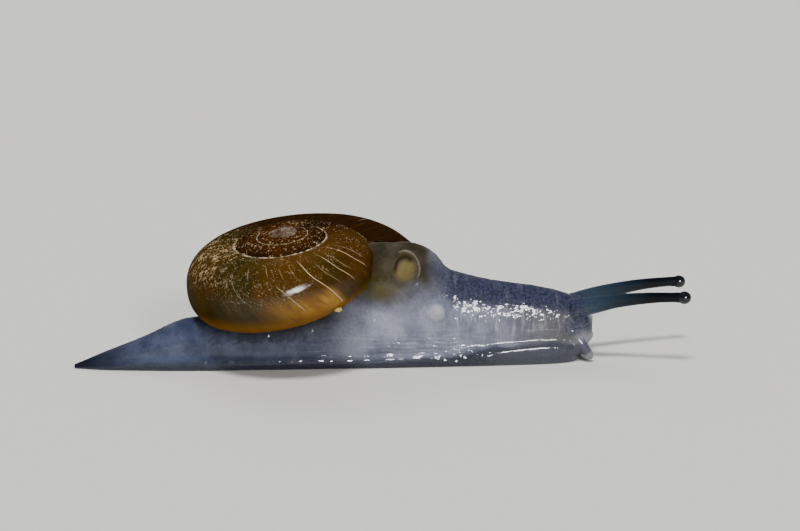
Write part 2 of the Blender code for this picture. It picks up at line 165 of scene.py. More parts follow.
def addPatterns(tree, where, unit, table):   # name: texture, grains in a unit along x, y, z, settings
    made = {}
    for name, (kind, grains, settings) in table.items():
        spread = addNode(tree, "Mapping", {"Vector": where, "Scale": [count / unit for count in grains]})
        made[name] = addNode(tree, kind, {"Vector": spread.outputs[0], "Scale": 1.0, **settings}).outputs[0]
    return made


def overlap(tree, *fades):                   # where all meet: masks, strengths, (source, from, to, low, high)
    mask = None
    for fade in fades:
        if isinstance(fade, tuple):
            ends = dict(zip(("Value", "From Min", "From Max", "To Min", "To Max"), fade))
            fade = addNode(tree, "MapRange", {"interpolation_type": "SMOOTHSTEP", **ends}).outputs[0]
        if mask is not None:
            fade = addNode(tree, "Math", {"operation": "MULTIPLY", 0: mask, 1: fade}).outputs[0]
        mask = fade
    return mask


def anyOf(tree, *groups):                    # where at least one group of fades meets
    mask = overlap(tree, *groups[0])
    for group in groups[1:]:
        mask = addNode(tree, "Math", {"operation": "MAXIMUM", 0: mask, 1: overlap(tree, *group)}).outputs[0]
    return mask


def layOver(tree, colour, cover, *fades):    # a thin coat of colour where the fades meet
    mask = overlap(tree, *fades)
    return addNode(tree, "Mix", {"data_type": "RGBA", 0: mask, 6: colour, 7: cover}).outputs[2]


# shell

shellShape = dict(
    apex=(-5.52, -0.7, 8.09), leanTail=6.5, leanRight=9.0,
    lipRadius=8.0, growth=1.80, whorls=5, rowsPerTurn=220,
    middle=0.56, halfWidth=0.44, drop=0.495, halfHeight=0.365, square=2.3,
    baseAngle=-158.0, pit=-2.6, cap=-0.05, arcPoints=11, sidePoints=46,
    slant=5.5, slantFrom=-1.2, droop=0.05, droopTurns=0.16,
    ripple=0.010, rippleRise=4, slowRipple=9.0, fineRipple=31.0, slowShare=0.6,
    lipWall=0.10, mouthDepth=0.30, swell=0.085, swellAt=1.01, swellTurns=0.10, weld=0.0005,
)


def shellAxes():
    s = shellShape
    axis = Vector((-math.tan(math.radians(s["leanTail"])), -math.tan(math.radians(s["leanRight"])), 1))
    axis.normalize()
    forward = (Vector((1, 0, 0)) - axis * axis.x).normalized()
    return axis, forward, axis.cross(forward)


def whorlRadius(back):
    s = shellShape
    swell = 1 + s["swell"] * math.exp(-((back - s["swellAt"]) / s["swellTurns"]) ** 2)
    return s["lipRadius"] * s["growth"] ** -back * swell


def whorlDrop(back):
    s = shellShape
    return s["drop"] + s["droop"] * max(0.0, 1 - back / s["droopTurns"]) ** 2


def whorlPoint(back, angle):                 # distance from the axis and height on it
    s = shellShape
    size = whorlRadius(back)
    power = 2 / s["square"]
    c, d = math.cos(angle), math.sin(angle)
    across = math.copysign(abs(c) ** power, c)
    along = math.copysign(abs(d) ** power, d)
    return size * (s["middle"] + s["halfWidth"] * across), size * (s["halfHeight"] * along - whorlDrop(back))


def shellPlace(back, radius, height):
    s = shellShape
    axis, forward, left = shellAxes()
    turn = back * 2 * math.pi + math.radians(s["slant"] * max(0.0, s["slantFrom"] - height))
    return Vector(s["apex"]) + axis * height + (forward * math.cos(turn) + left * math.sin(turn)) * radius


def upperHeight(back, radius):
    s = shellShape
    size = whorlRadius(back)
    across = abs((radius / size - s["middle"]) / s["halfWidth"])
    if across >= 1:
        return -99.0
    return size * (s["halfHeight"] * (1 - across ** s["square"]) ** (1 / s["square"]) - whorlDrop(back))


def sutureRadius(back):                      # where the next whorl inwards comes to the surface
    high = whorlRadius(back + 1)
    low = high * shellShape["middle"]
    for _ in range(40):
        half = (low + high) / 2
        if upperHeight(back + 1, half) > upperHeight(back, half):
            low = half
        else:
            high = half
    return low


def sectionAngle(back, radius):
    s = shellShape
    across = (radius / whorlRadius(back) - s["middle"]) / s["halfWidth"]
    return math.acos(math.copysign(abs(across) ** (s["square"] / 2), across))


def whorlAngles(back):                       # over the visible face, and down the last whorl
    s = shellShape
    inner = sectionAngle(back, sutureRadius(back))
    covered = max(0.0, back - 1)
    share = sutureRadius(covered) / whorlRadius(covered + 1)
    outer = sectionAngle(back, share * whorlRadius(back))
    side = np.linspace(outer, math.radians(s["baseAngle"]), s["sidePoints"] + 1)[1:]
    return [*np.linspace(inner, outer, s["arcPoints"]), *side]


def shellProfile(back):                      # one line from the apex, over every whorl, to the umbilicus
    s = shellShape
    line = [place(shellPlace(back, 0, s["cap"]))]
    marks = [(back + s["whorls"] - 1, 0.0)]
    for whorl in reversed(range(s["whorls"])):
        turn = back + whorl
        angles = whorlAngles(turn)
        count = len(angles) if whorl == 0 else s["arcPoints"] - 1
        for index in range(count):
            radius, height = whorlPoint(turn, angles[index])
            swell = 1 + s["ripple"] * growthRipple(turn) * min(1.0, index / s["rippleRise"])
            line.append(place(shellPlace(turn, radius * swell, height)))
            marks.append((turn, index / (s["arcPoints"] - 1)))
    line.append(place(shellPlace(back, 0, s["pit"])))
    marks.append((back, len(angles) / (s["arcPoints"] - 1)))
    return line, marks


def growthRipple(turn):                      # rest marks, closer together on the older whorls
    s = shellShape
    slow = noise.noise(Vector((turn * s["slowRipple"], 1.7, 4.2)))
    fine = noise.noise(Vector((turn * s["fineRipple"], 5.1, 0.3)))
    return s["slowShare"] * slow + (1 - s["slowShare"]) * fine


def makeShell():
    s = shellShape
    rows = [shellProfile(row / s["rowsPerTurn"]) for row in range(s["rowsPerTurn"] + 1)]
    count = len(rows[0][0])
    startRing(rows[0][0])
    mesh = bmesh.from_edit_mesh(bpy.context.edit_object.data)
    slot = mesh.verts.layers.int["slot"]
    for edge in list(mesh.edges):            # open the circle into a line from apex to umbilicus
        if {v[slot] for v in edge.verts} == {0, count - 1}:
            mesh.edges.remove(edge)
    bmesh.update_edit_mesh(bpy.context.edit_object.data)
    for number, (line, _) in enumerate(rows[1:], 1):
        nextRing(line, number)
    mesh = bmesh.from_edit_mesh(bpy.context.edit_object.data)
    slot = mesh.verts.layers.int["slot"]
    row = mesh.verts.layers.int["row"]
    whorlMap = mesh.loops.layers.uv.new("whorl")
    for face in mesh.faces:                  # u is turns back from the lip, v runs across a whorl
        low = min(loop.vert[slot] for loop in face.loops)
        for loop in face.loops:
            turn, across = rows[loop.vert[row]][1][loop.vert[slot]]
            base = rows[loop.vert[row]][1][low]
            if loop.vert[slot] > low and turn < base[0]:
                across = 1.0                 # outer suture of this whorl, not the start of the next
            loop[whorlMap].uv = (base[0] if loop.vert[slot] > low else turn, across)
    bmesh.update_edit_mesh(bpy.context.edit_object.data)
    bpy.ops.mesh.select_all(action="SELECT")
    bpy.ops.mesh.remove_doubles(threshold=s["weld"] * mm)
    bpy.ops.mesh.select_all(action="DESELECT")
    bpy.ops.mesh.select_mode(type="EDGE")
    bpy.ops.mesh.select_non_manifold(extend=False)
    bpy.ops.mesh.fill_holes(sides=0)
    bpy.ops.mesh.select_mode(type="FACE")
    bpy.ops.mesh.select_all(action="DESELECT")
    mesh = bmesh.from_edit_mesh(bpy.context.edit_object.data)
    mouth = max(mesh.faces, key=lambda face: len(face.verts))
    mouth.select = True
    bmesh.update_edit_mesh(bpy.context.edit_object.data)
    bpy.ops.mesh.inset(thickness=s["lipWall"] * mm, depth=0)
    bpy.ops.mesh.extrude_region_move(TRANSFORM_OT_translate={"value": (0, s["mouthDepth"] * mm, 0)})
    mesh = bmesh.from_edit_mesh(bpy.context.edit_object.data)
    for face in mesh.faces:
        if face.select:
            face.material_index = 1          # flesh, drawn in behind the lip
    bmesh.update_edit_mesh(bpy.context.edit_object.data)
    bpy.ops.mesh.select_all(action="SELECT")
    bpy.ops.mesh.normals_make_consistent(inside=False)
    bpy.ops.object.mode_set(mode="OBJECT")
    shell = settle(bpy.context.object, "shellWhorls")
    bpy.ops.object.shade_smooth()
    return shell


# soft body

bodyShape = dict(
    stations=(                               # x, sole half width, flank half width, height, fringe height
        (-17.8, 0.16, 0.14, 0.24, 0.08), (-17.2, 0.38, 0.33, 0.46, 0.15), (-16.0, 0.76, 0.64, 0.94, 0.31),
        (-13.8, 1.16, 1.00, 1.76, 0.58), (-11.2, 1.48, 1.34, 2.82, 0.74), (-7.5, 1.72, 1.62, 3.15, 0.74),
        (-3.0, 1.84, 1.80, 3.60, 0.74), (0.5, 1.90, 2.06, 5.00, 0.77), (3.1, 1.94, 2.02, 5.78, 0.84),
        (4.3, 1.95, 1.88, 5.28, 0.93), (6.4, 1.95, 1.76, 4.70, 1.08), (8.8, 1.90, 1.62, 4.32, 1.16),
        (10.4, 1.72, 1.50, 3.95, 1.14), (11.4, 1.38, 1.26, 3.52, 1.05), (12.0, 0.92, 0.94, 3.02, 0.95),
        (12.32, 0.42, 0.52, 2.40, 0.80),
    ),
    step=0.25, solePoints=(0.0, 0.3, 0.6, 0.85), fringeAngles=(-70, -40, -12, 15, 42, 66), backPoints=20,
    fringeRound=0.20, furrow=0.16, furrowFrom=2.2, furrowLevel=1.12, furrowFill=0.6, backRound=0.82,
    chinStart=9.0, chinBack=0.72, chinHeight=1.25, chinRound=1.2,
    voxel=0.082, relax=(0.5, 6), soften=(0.6, 140),     # size; strength and rounds
)
tubeShape = dict(points=28, gaps=6, roundings=3, capAngles=(25, 50, 72, 86))
mantleShape = dict(centre=(1.05, -0.25, 4.85), radii=(2.85, 2.10, 2.26), behind=0.2, above=5.2)
rimDrop = dict(centre=(-2.68, -3.96, 4.06), radii=(0.24, 0.18, 0.16))
collarRoll = dict(angles=(112, -128, 28), inset=0.46, radius=0.42, ahead=0.012)
breathingHole = dict(                        # ways, as shares forward and up: front below, front above, back
    centre=(1.26, -2.02, 5.86), radii=(0.74, 0.84), depth=0.26, shallow=0.75, rim=0.02,
    ways=((0.7, -0.7), (0.75, 0.65), (-0.42, 0.9)),
)
mucusFold = (                                # x, z of the wet fold that runs along the foot
    (3.93, 0.72), (4.28, 1.02), (4.75, 1.06), (5.25, 0.82), (5.75, 0.50), (6.40, 0.72),
    (7.20, 0.84), (8.05, 0.94), (9.10, 1.08), (10.00, 1.04), (10.60, 0.84),
)
genitalSwelling = dict(centre=(3.05, -1.80, 3.25), radii=(0.56, 0.24, 0.56))
muzzle = dict(centre=(11.45, 0.0, 2.35), radii=(0.98, 1.02, 1.15))
lipLobe = dict(centre=(11.98, 0.38, 1.42), radii=(0.44, 0.36, 0.42))
upperTentacle = (                            # x, y, z, radius on the left side
    (11.10, 0.66, 2.96, 0.66), (12.00, 0.93, 3.23, 0.56), (12.59, 1.11, 3.39, 0.50),
    (13.50, 1.38, 3.60, 0.42), (14.74, 1.80, 3.79, 0.355), (15.80, 2.10, 3.91, 0.315),
    (16.92, 2.43, 3.98, 0.285), (17.32, 2.54, 3.98, 0.315),
)
lowerTentacle = (
    (10.95, 0.90, 1.70, 0.38), (11.30, 1.12, 1.36, 0.34), (11.47, 1.22, 1.14, 0.32),
    (11.76, 1.29, 0.74, 0.30), (11.99, 1.33, 0.39, 0.28),
)
tentaclePose = {1: dict(reach=1.08, sink=0.20), -1: dict(reach=0.94, sink=0.0)}
tentacleRoot = 12.59
eyeBulb = dict(centre=(17.54, 2.60, 3.98), radii=(0.40, 0.37, 0.37))


def posed(point, side):                      # stretched out as far as that side's tentacle is
    pose, span = tentaclePose[side], eyeBulb["centre"][0] - tentacleRoot
    share = max(0.0, point[0] - tentacleRoot) / span
    return (point[0] + share * span * (pose["reach"] - 1), point[1] * side,
            point[2] - pose["sink"] * share ** 2, *point[3:])


def bodyRing(x):                             # a cross-section, sole first, right round
    b = bodyShape
    sole, flank, height, fringe = (float(curveThrough(b["stations"], column, x)) for column in (1, 2, 3, 4))
    scale = min(1.0, height / b["furrowFrom"])
    furrow, curl = b["furrow"] * scale, b["fringeRound"] * scale
    half = [(share * sole, 0.0) for share in b["solePoints"]]
    for angle in b["fringeAngles"]:
        a = math.radians(angle)
        half.append((sole - curl * (1 - math.cos(a)), fringe * (0.5 + 0.5 * math.sin(a))))
    start = b["furrowLevel"] * fringe
    half.append((min(flank, sole) - furrow, start))
    for i in range(1, b["backPoints"] + 1):
        angle = i / b["backPoints"] * math.pi / 2
        bulge = math.sin(math.pi * i / b["backPoints"]) * b["furrowFill"] * furrow
        y = (flank - furrow) * math.cos(angle) ** b["backRound"] + bulge if i < b["backPoints"] else 0.0
        half.append((y, start + (height - start) * math.sin(angle)))
    full = half + [(-y, z) for y, z in reversed(half[1:-1])]
    ahead = max(0.0, (x - b["chinStart"]) / (b["stations"][-1][0] - b["chinStart"]))
    back = b["chinBack"] * ahead ** 2
    return [place((x - back * max(0.0, 1 - z / b["chinHeight"]) ** b["chinRound"], y, z)) for y, z in full]


def makeTrunk():
    b = bodyShape
    first, last = b["stations"][0][0], b["stations"][-1][0]
    count = round((last - first) / b["step"])
    return loft([bodyRing(first + (last - first) * i / count) for i in range(count + 1)], "trunk")


def makeTube(path, name, gaps=tubeShape["gaps"]):   # round, with a round tip, through x, y, z, radius
    path = np.array(path)
    ends = np.arange(len(path)) * gaps
    where = np.linspace(0, ends[-1], ends[-1] + 1)
    fine = np.stack([np.interp(where, ends, path[:, k]) for k in range(4)], 1)
    for _ in range(tubeShape["roundings"]):  # round off the corners between the stretches
        fine[1:-1] = (fine[:-2] + 2 * fine[1:-1] + fine[2:]) / 4
    rings = []
    for i, row in enumerate(fine):
        ahead = Vector(fine[min(i + 1, len(fine) - 1)][:3]) - Vector(fine[max(i - 1, 0)][:3])
        across = ahead.cross(Vector((0, 0.2, 1))).normalized()
        up = across.cross(ahead).normalized()
        turns = np.linspace(0, 2 * math.pi, tubeShape["points"], endpoint=False)
        spokes = [(across * math.cos(a) + up * math.sin(a)) * row[3] for a in turns]
        rings.append([place(Vector(row[:3]) + spoke) for spoke in spokes])
    ahead.normalize()
    tip, radius = Vector(fine[-1][:3]), fine[-1][3]
    for angle in tubeShape["capAngles"]:
        reach, shrink = math.sin(math.radians(angle)) * radius, math.cos(math.radians(angle))
        rings.append([place(tip + ahead * reach) + (p - place(tip)) * shrink for p in rings[len(fine) - 1]])
    return loft(rings, name)


def makeCollarRoll():                        # the thick mantle edge that lines the shell's mouth
    c = collarRoll
    path = []
    for angle in np.radians(np.linspace(*c["angles"])):
        radius, height = whorlPoint(0, angle)
        middle = whorlPoint(0, math.radians(90))[0], whorlPoint(0, 0)[1]
        out = Vector((radius - middle[0], height - middle[1]))
        out *= 1 - c["inset"] / out.length
        path.append((*shellPlace(-c["ahead"], middle[0] + out.x, middle[1] + out.y), c["radius"]))
    return makeTube(path, "collarRoll", gaps=2)


def makeBulb(name, centre, radii, segments=32, rings=20):
    bpy.ops.object.select_all(action="DESELECT")
    bpy.ops.mesh.primitive_uv_sphere_add(segments=segments, ring_count=rings, radius=mm)
    bpy.context.object.location = place(centre)
    bpy.context.object.scale = radii
    return settle(bpy.context.object, name)


def mirrored(point, side):
    return (point[0], point[1] * side, point[2])


def bulbReach(places, bulb):                 # 1 on a bulb's surface, more outside it
    return np.linalg.norm((places - np.array(bulb["centre"])) / np.array(bulb["radii"]), axis=1)


def rise(value, zone):                       # 0 before a named zone, 1 beyond it
    return ramp(value, *skinZones[zone])


def hump(value, zone):                       # 1 in the middle of a named zone
    return band(value, *skinZones[zone])


def blendShare(places):                      # where the fused forms should flow into one another
    r = skinRelief
    x, y, z = places.T
    collar = hump(bulbReach(places, mantleShape), "collarBlend") * (1 - rise(z, "collarTop"))
    collar *= x > r["collarBack"]
    bulge = r["swellingBlend"] * hump(bulbReach(places, genitalSwelling), "swellingEdge")
    face = r["faceBlend"] * rise(x, "faceFront") * hump(z, "faceLevel") * (1 - rise(np.abs(y), "faceSide"))
    return np.clip(np.maximum.reduce([collar, bulge, face]), 0, 1)


def makeFleshForm():                         # every part of the soft body, fused and smoothed
    parts = [makeTrunk(), makeBulb("mantle", mantleShape["centre"], mantleShape["radii"], 64, 40)]
    parts.append(makeBulb("swelling", genitalSwelling["centre"], genitalSwelling["radii"]))
    parts.append(makeBulb("muzzle", muzzle["centre"], muzzle["radii"]))
    parts.append(makeCollarRoll())
    for side in (1, -1):
        parts.append(makeTube([posed(row, side) for row in upperTentacle], "upper"))
        parts.append(makeTube([(x, y * side, z, r) for x, y, z, r in lowerTentacle], "lower"))
        parts.append(makeBulb("lip", mirrored(lipLobe["centre"], side), lipLobe["radii"]))
    selectOnly(*parts)
    bpy.ops.object.join()
    flesh = bpy.context.object
    fuse = flesh.modifiers.new("Fuse", "REMESH")
    fuse.mode = "VOXEL"
    fuse.voxel_size = bodyShape["voxel"] * mm
    fuse.adaptivity = 0
    relax = flesh.modifiers.new("Relax", "SMOOTH")
    relax.factor, relax.iterations = bodyShape["relax"]
    applyAll(flesh)
    blend = flesh.vertex_groups.new(name="blend")
    for index, share in enumerate(blendShare(meshPlaces(flesh))):
        if share > skinRelief["leastBlend"]:
            blend.add([index], float(share), "REPLACE")
    soften = flesh.modifiers.new("Soften", "SMOOTH")
    soften.vertex_group = "blend"
    soften.factor, soften.iterations = bodyShape["soften"]
    applyAll(flesh)
    return settle(flesh, "snailSkin")


def meshPlaces(thing):                       # vertex places in the animal's frame, mm
    places = np.empty(len(thing.data.vertices) * 3)
    thing.data.vertices.foreach_get("co", places)
    return places.reshape(-1, 3) / mm - np.array(middleShift)


def setPlaces(thing, places):
    flat = ((places + np.array(middleShift)) * mm).ravel()
    thing.data.vertices.foreach_set("co", flat)
    thing.data.update()


def meshNormals(thing):
    normals = np.empty(len(thing.data.vertices) * 3)
    thing.data.vertex_normals.foreach_get("vector", normals)
    return normals.reshape(-1, 3)


def noiseAt(places, scale, seed=0.0, depth=1):
    scale = np.asarray(scale, float) * np.ones(3)
    shift = Vector((seed, seed * 0.7, -seed))
    return np.array([noise.fractal(Vector(p * scale) + shift, 1.0, 2.0, depth) for p in places])


def writeMask(thing, name, values):
    layer = thing.data.attributes.new(name, "FLOAT", "POINT")
    layer.data.foreach_set("value", np.clip(values, 0, 1).astype(float))


def alongPath(places, path):                 # share of the way along it, and distance outside its tube
    path = np.array(path)
    line, radii = path[:, :3], path[:, 3]
    best = np.full(len(places), 1e9)
    share = np.zeros(len(places))
    for i in range(len(line) - 1):
        span = line[i + 1] - line[i]
        t = np.clip(((places - line[i]) @ span) / (span @ span), 0, 1)
        away = np.linalg.norm(places - line[i] - t[:, None] * span, axis=1)
        away -= radii[i] + (radii[i + 1] - radii[i]) * t
        near = away < best
        best = np.where(near, away, best)
        share = np.where(near, (i + t) / (len(line) - 1), share)
    return share, best


def band(value, middle, width):              # a soft bump of 1 at the middle
    return np.exp(-((value - middle) / width) ** 2)


skinRelief = dict(                           # heights, spacings and places in mm, and shares of 1
    shoulderGrain=0.016, foldHeight=0.010, foldSpacing=0.42, foldWander=2.6,
    sweepHeight=0.030, sweepSpacing=0.24, sweepWander=2.4, sweepSlope=0.5,
    fineGrain=0.016, edgeWave=0.055, frontCalm=0.85, sidesApart=4, mucusRidge=0.058, crumple=0.07,
    mouthDepth=0.16,
    leastFlank=0.15, collarBack=-0.2, swellingBlend=0.2, faceBlend=0.6, leastBlend=0.02,
)
skinNoise = dict(                            # grains in a millimetre, seed, octaves
    wobble=(1.3, 3.0), fine=(4.2, 9.0, 2), shoulder=((4.6, 3.0, 5.2), 21.0, 2),
    wave=((1.0, 1.0, 0.6), 5.0, 2), crumple=((2.6, 1.5, 3.4), 31.0, 2),
)
skinZones = dict(                            # start and end of a rise, or middle and width of a hump
    collarBlend=(1.06, 0.14), collarTop=(6.0, 6.6), swellingEdge=(1.1, 0.35),
    faceFront=(10.6, 11.2), faceLevel=(2.3, 0.9), faceSide=(0.9, 1.3),
    stalkSkin=(0.10, 0.45), stalkRoot=(0.0, 0.12), stalkFree=(0.15, 0.3),
    feelerSkin=(0.03, 0.20), feelerLength=(0.10, 1.0), feelerFree=(0.0, 0.2),
    pit=(0.1, 1.1), pitFront=(-0.4, 0.7), rim=(1.08, 0.11), rimFront=(0.0, 0.7),
    wrinkles=(0.60, 0.13), wrinkleStart=(1.8, 3.4), wrinkleEnd=(11.2, 12.0),
    folds=(0.34, 0.22), foldStart=(3.0, 4.6), foldEnd=(10.8, 11.8),
    sweep=(0.10, 0.13), sweepStart=(-2.0, 0.5), sweepEnd=(4.2, 6.0), grainFoot=(1.0, 1.5),
    edgeTop=(-0.05, 0.06), edgeFoot=(0.10, 0.35), edgeTail=(-16.5, -13.0), edgeCalm=(5.2, 6.4),
    mucusRidge=(0.0, 0.27), crumpleStart=(2.6, 3.4), crumpleEnd=(5.6, 6.8),
    mouthSlit=(0.0, 0.10), mouthFront=(11.6, 11.9), mouthFoot=(1.0, 1.2), mouthTop=(1.75, 2.0),
    mantleSkin=(1.04, 1.20), mantleFoot=(4.1, 5.4), mantleFront=(2.3, 3.7),
    olive=(-0.2, 1.5), oliveLevel=(4.55, 0.95), oliveFoot=(3.3, 4.1),
    holeWide=(-0.3, 0.6), holeDeep=(-0.9, 0.1), holeRim=(1.10, 0.045), rimFade=(0.1, 0.8),
    holePaintedShadow=(0.80, 0.22), topFade=(-0.12, 0.45), nape=(0.0, 0.85), dullHole=(1.15, 1.45),
    underLift=(0.15, 0.75), underFront=(-3.4, -1.4), underTail=(-9.5, -6.0),
    face=(10.2, 11.1), faceFoot=(1.15, 2.2), backLift=(0.52, 0.72), backStart=(2.0, 4.2),
    edgeRise=(3.0, 7.0), haze=(0.2, 2.0), hazeLevel=(3.1, 0.9),
    sparkle=(0.61, 0.16), sparkleStart=(2.2, 3.2), swelling=(0.30, 0.60),
)
napeSpot = dict(x=2.5, z=4.9, flat=0.8, sparkle=1.8)


def sculptSkin(skin):
    r, hole = skinRelief, breathingHole
    places = meshPlaces(skin)
    normals = meshNormals(skin)
    x, y, z = places.T
    height = curveThrough(bodyShape["stations"], 3, x)
    fringe = curveThrough(bodyShape["stations"], 4, x) * bodyShape["furrowLevel"]
    lift = (z - fringe) / np.maximum(height - fringe, r["leastFlank"])
    onRight = (y < 0).astype(float)

    stalk, feeler, onTentacle = (np.zeros(len(places)) for _ in range(3))
    for side in (1, -1):
        share, away = alongPath(places, [posed(row, side) for row in upperTentacle])
        near = 1 - rise(away, "stalkSkin")
        stalk = np.maximum(stalk, share * near * rise(share, "stalkRoot"))
        onTentacle = np.maximum(onTentacle, near * rise(share, "stalkFree"))
        share, away = alongPath(places, [(a, b * side, c, size) for a, b, c, size in lowerTentacle])
        feeler = np.maximum(feeler, rise(share, "feelerLength") * (1 - rise(away, "feelerSkin")))
    onTrunk = (1 - onTentacle) * (1 - rise(feeler, "feelerFree"))

    # breathing hole: a pit with a raised rim on the collar's right side
    across = (x - hole["centre"][0]) / hole["radii"][0]
    upward = (z - hole["centre"][2]) / hole["radii"][1]
    distance = np.sqrt(across ** 2 + upward ** 2)
    frontBelow, frontAbove, backAbove = (ahead * across + up * upward for ahead, up in hole["ways"])
    pit = onRight * (1 - rise(distance, "pit")) * (1 - hole["shallow"] * rise(frontBelow, "pitFront"))
    rim = onRight * hump(distance, "rim") * rise(frontAbove, "rimFront")
    push = hole["rim"] * rim - hole["depth"] * pit

    # shoulder wrinkles, folds down the flank, and lines that sweep back over the foot
    wobble, fine = noiseAt(places, *skinNoise["wobble"]), noiseAt(places, *skinNoise["fine"])
    wrinkles = hump(lift, "wrinkles") * rise(x, "wrinkleStart") * (1 - rise(x, "wrinkleEnd")) * onTrunk
    push += r["shoulderGrain"] * wrinkles * noiseAt(places, *skinNoise["shoulder"])
    folds = hump(lift, "folds") * rise(x, "foldStart") * (1 - rise(x, "foldEnd")) * onTrunk
    push += r["foldHeight"] * folds * np.sin(x * 2 * math.pi / r["foldSpacing"] + r["foldWander"] * wobble)
    sweep = hump(lift, "sweep") * rise(x, "sweepStart") * (1 - rise(x, "sweepEnd")) * onTrunk
    phase = z * 2 * math.pi / r["sweepSpacing"] + r["sweepWander"] * wobble + r["sweepSlope"] * x
    push += r["sweepHeight"] * sweep * np.sin(phase)
    push += r["fineGrain"] * fine * onTrunk * rise(z, "grainFoot") * (1 - pit)

    # foot edge: slow waves, a wet fold, and a crumpled stretch where the foot bends
    edge = (1 - rise(lift, "edgeTop")) * rise(z, "edgeFoot") * rise(x, "edgeTail")
    calm = 1 - r["frontCalm"] * rise(x, "edgeCalm")
    waving = noiseAt(np.stack([x, np.sign(y) * r["sidesApart"], z], 1), *skinNoise["wave"])
    push += r["edgeWave"] * edge * calm * waving
    flat = np.stack([x, np.zeros(len(x)), z], 1)
    away = alongPath(flat, [(a, 0, c, 0) for a, c in mucusFold])[1]
    push += r["mucusRidge"] * hump(away, "mucusRidge") * edge
    crumple = edge * rise(x, "crumpleStart") * (1 - rise(x, "crumpleEnd"))
    push += r["crumple"] * crumple * noiseAt(places, *skinNoise["crumple"])

    # mouth: an upright slit between the lip lobes
    mouth = hump(y, "mouthSlit") * rise(x, "mouthFront") * rise(z, "mouthFoot") * (1 - rise(z, "mouthTop"))
    push -= r["mouthDepth"] * mouth
    places = places + normals * push[:, None]
    setPlaces(skin, places)

    # masks for the skin's colours, the wobble keeps their edges from running straight
    mantle = 1 - rise(bulbReach(places, mantleShape), "mantleSkin")
    mantle *= rise(z + 0.3 * wobble, "mantleFoot") * (1 - rise(x + 0.3 * wobble, "mantleFront"))
    mantle = np.maximum(mantle, (x < mantleShape["behind"]) * (z > mantleShape["above"]))
    nape = onRight * hump(np.hypot(x - napeSpot["x"], (z - napeSpot["z"]) * napeSpot["flat"]), "nape")
    fromSwelling = np.hypot(x - genitalSwelling["centre"][0], z - genitalSwelling["centre"][2])
    opening = 1 - ramp(distance, 0.42 + 0.46 * rise(backAbove, "holeWide"), 1.08)
    sparkling = np.maximum(0.5 * hump(lift, "sparkle") * rise(x, "sparkleStart"), napeSpot["sparkle"] * nape)
    masks = dict(
        stalk=stalk, feeler=feeler, mantle=mantle, folds=folds, mouth=mouth,
        olive=hump(x, "olive") * hump(z, "oliveLevel") * rise(z + 0.25 * wobble, "oliveFoot"),
        hole=onRight * opening * (0.55 + 0.45 * rise(backAbove, "holeDeep")),
        holeRim=0.55 * onRight * hump(distance, "holeRim") * rise(frontAbove, "rimFade"),
        # painted shadow: a dark crescent inside the upper back of the breathing hole's pit
        holePaintedShadow=onRight * hump(distance, "holePaintedShadow") * rise(backAbove, "topFade"),
        dull=np.maximum(onRight * (1 - rise(distance, "dullHole")), 0.8 * mantle * (1 - nape)),
        # painted shade: the flank darkened under the shell, where its shadow falls
        under=rise(lift, "underLift") * (1 - rise(x, "underFront")) * rise(x, "underTail"),
        face=rise(x + 0.5 * wobble, "face") * rise(z + 0.3 * wobble, "faceFoot") * onTrunk,
        back=rise(lift + 0.04 * wobble, "backLift") * rise(x, "backStart") * onTrunk,
        edge=1 - ramp(z / fringe + 0.10 * wobble, 0.35 + 0.45 * rise(x, "edgeRise"), 1.0),
        haze=hump(x + 0.6 * wobble, "haze") * hump(z + 0.4 * wobble, "hazeLevel"),
        shoulder=sparkling * onTrunk, swelling=onRight * (1 - rise(fromSwelling, "swelling")),
    )
    for name in skinMasks:
        writeMask(skin, name, masks[name])
    return skin


# wet skin: mucus-coated living tissue, a soft milky body colour under a sharp, broken gloss

skinLook = dict(
    flank="#5d6274", flankPale="#888c9c", flankFront="#545355", haze="#a7abbb", fold="#b0b0b6",
    sweep="#aeb1bc", back="#25273a", backGrain="#3b3e56", tail="#2f364e", tailPale="#485067",
    tailTip="#0f1320", edge="#262a38", edgeFront="#3e414b", root="#2a3a48", stalkTip="#05080f",
    feeler="#4c4e5c", feelerTip="#7b7c84", mantle="#2f291f", mantleVein="#473f32", olive="#4c431d",
    # the mouth colour at the end of the next line is painted shade, for the mouth slit
    # the second hole colour on the next line is painted shadow inside the breathing hole
    hole="#6c603a", holePaintedShadow="#1c1309", holeRim="#a29e92", swelling="#a3a5aa", chin="#8a8b90", mouth="#2a2428",
    # the first colour on the next line is painted shade, for the flank below the shell
    under="#2c2f2f", face="#292d3e", faceGrain="#4e5264",
)
skinFinish = {
    "Roughness": 0.5, "IOR": 1.38, "Specular IOR Level": 0.12, "Coat Roughness": 0.05, "Coat IOR": 1.38,
    "Subsurface Weight": 0.3, "Subsurface Radius": (0.5, 0.45, 0.5), "Subsurface Scale": 0.6 * mm,
}
skinPatterns = dict(                         # kind, grains in a millimetre along x, y and z
    cloud=("TexNoise", (0.7, 0.7, 0.7), {"Detail": 4.0}),
    grain=("TexNoise", (7.0, 7.0, 7.0), {"Detail": 3.0, "Roughness": 0.7}),
    streaks=("TexNoise", (3.4, 0.5, 0.65), {"Detail": 3.0}),
    sweeps=("TexNoise", (0.42, 0.5, 5.2), {"Detail": 3.0}),
    relief=("TexNoise", (2.6, 2.6, 2.6), {"Detail": 5.0, "Roughness": 0.6}),
    film=("TexNoise", (0.9, 0.9, 0.9), {"Detail": 2.0}),
    gaps=("TexNoise", (2.6, 3.4, 4.6), {"Detail": 3.0, "Roughness": 0.6}),
    cobbles=("TexVoronoi", (5.256, 6.57, 8.395), {"feature": "SMOOTH_F1"}),
)
skinMasks = ("folds", "haze", "under", "face", "back", "edge", "mantle", "olive", "swelling",
             "holeRim", "hole", "holePaintedShadow", "stalk", "feeler", "mouth", "shoulder", "dull")


